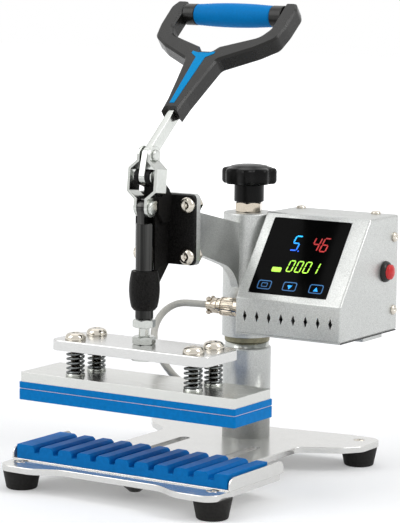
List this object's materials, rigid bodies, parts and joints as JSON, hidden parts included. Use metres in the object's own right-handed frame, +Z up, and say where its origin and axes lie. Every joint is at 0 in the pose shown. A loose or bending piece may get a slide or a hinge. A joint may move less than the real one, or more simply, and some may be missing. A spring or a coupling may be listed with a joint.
{
  "type": "pen heat press",
  "caption": "Bench heat press with a swing arm, a vertical toggle clamp with a D handle, a heated bar on springs, a grooved pen tray and a control box.",
  "frame": {"origin": "on the floor, below the middle of the whole object's box", "axes": "+X to the right as seen by the user, +Y to the back, +Z up"},
  "size_m": [0.188, 0.2124, 0.3085],
  "materials": {
    "base_paint": "smooth semi-gloss silver paint",
    "arm_paint": "silver metallic paint with fine sparkle",
    "bar_paint": "semi-gloss silver paint",
    "plated_steel": "bright zinc plating",
    "platen_alu": "plain milled",
    "black_casting": "black satin paint on cast metal",
    "dark_steel": "dark oxide finish",
    "black_plastic": "moulded, fine texture",
    "foot_rubber": "matt black",
    "blue_silicone": "smooth satin silicone",
    "blue_plastic": "satin moulded",
    "blue_grip": "soft satin grip",
    "white_cloth": "thin coated glass cloth",
    "display_black": "glossy lens over a display",
    "board_green": "coated circuit board",
    "red_plastic": "glossy moulded",
    "plug_chrome": "nickel plated",
    "lead_sleeve": "woven glass fibre sleeve, satin",
    "nylon_ring": "natural nylon"
  },
  "bodies": {
    "base": {"base_plate": "base_paint", "foot_front_left": "foot_rubber", "foot_front_right": "foot_rubber", "foot_rear_left": "foot_rubber", "foot_rear_right": "foot_rubber", "foot_screws": "plated_steel", "column": "arm_paint", "column_bolt": "plated_steel", "swivel_post": "plated_steel", "thrust_ring": "nylon_ring", "tray_holder": "base_paint", "pen_pad": "blue_silicone", "tray_stud": "plated_steel"},
    "tray_clamp": {"tray_knob": "black_plastic"},
    "arm": {"arm_sleeve": "arm_paint", "arm_web": "arm_paint", "mount_plate": "plated_steel", "clamp_body": "black_casting", "clamp_screws": "plated_steel", "clamp_nuts": "plated_steel", "pivot_pin": "plated_steel", "box_shell": "arm_paint", "box_back": "arm_paint", "box_bottom": "arm_paint", "display_window": "display_black", "control_board": "board_green", "button_body": "black_plastic", "box_screws": "plated_steel", "lead_socket": "plug_chrome", "lead_plug": "plug_chrome", "power_inlet": "black_plastic", "lead_upper": "lead_sleeve", "top_nut": "plated_steel"},
    "arm_lock": {"top_knob": "black_plastic", "knob_stud": "plated_steel"},
    "lever": {"lever_bar": "plated_steel", "shell_front": "black_plastic", "shell_back": "black_plastic", "handle_inlay": "blue_plastic", "grip_sleeve": "blue_grip", "grip_rod": "plated_steel", "grip_bushes": "black_plastic", "handle_screws": "plated_steel"},
    "links": {"link_left": "plated_steel", "link_right": "plated_steel", "link_pin": "plated_steel", "link_rivets": "plated_steel"},
    "plunger": {"plunger_rod": "dark_steel", "spindle": "plated_steel", "spindle_nuts": "plated_steel", "pressure_bar": "bar_paint", "lead_lower": "lead_sleeve"},
    "platen": {"platen_plate": "platen_alu", "heater_pad": "blue_silicone", "glass_cloth": "white_cloth", "press_pad": "blue_silicone", "platen_bolts": "plated_steel", "springs": "dark_steel", "lead_boot": "blue_silicone"},
    "button": {"button_cap": "red_plastic"}
  },
  "joints": [
    {"name": "arm_swing", "type": "hinge", "parent": "base", "child": "arm", "pos_m": [-0.0095, 0.0655, 0.0855], "axis": [0, 0, 1], "continuous": true},
    {"name": "arm_knob_turn", "type": "hinge", "parent": "arm", "child": "arm_lock", "pos_m": [-0.0095, 0.0655, 0.176], "axis": [0, 0, 1], "continuous": true},
    {"name": "tray_knob_turn", "type": "hinge", "parent": "base", "child": "tray_clamp", "pos_m": [-0.0095, -0.0685, 0.009], "axis": [0, 0, 1], "continuous": true},
    {"name": "lever_swing", "type": "hinge", "parent": "arm", "child": "lever", "pos_m": [-0.0095, -0.0595, 0.2015], "axis": [1, 0, 0], "range_deg": [0, 194.69]},
    {"name": "link_swing", "type": "hinge", "parent": "lever", "child": "links", "pos_m": [-0.0095, -0.056, 0.21485], "axis": [1, 0, 0], "range_deg": [-189, 0]},
    {"name": "plunger_slide", "type": "slide", "parent": "arm", "child": "plunger", "axis": [0, 0, -1], "range_m": [0, 0.0274]},
    {"name": "platen_float", "type": "slide", "parent": "plunger", "child": "platen", "axis": [0, 0, 1], "range_m": [0, 0.004], "stiffness_N_per_m": 6000, "springref_m": -0.003, "deforming": ["springs"]},
    {"name": "button_press", "type": "slide", "parent": "arm", "child": "button", "axis": [-1, 0, 0], "range_m": [0, 0.002], "stiffness_N_per_m": 400, "springref_m": -0.001}
  ],
  "couplings": [
    {"joint": "link_swing", "follows": "lever_swing", "ratio": -0.96873},
    {"joint": "plunger_slide", "follows": "lever_swing", "m_per_rad": 0.0080444}
  ]
}
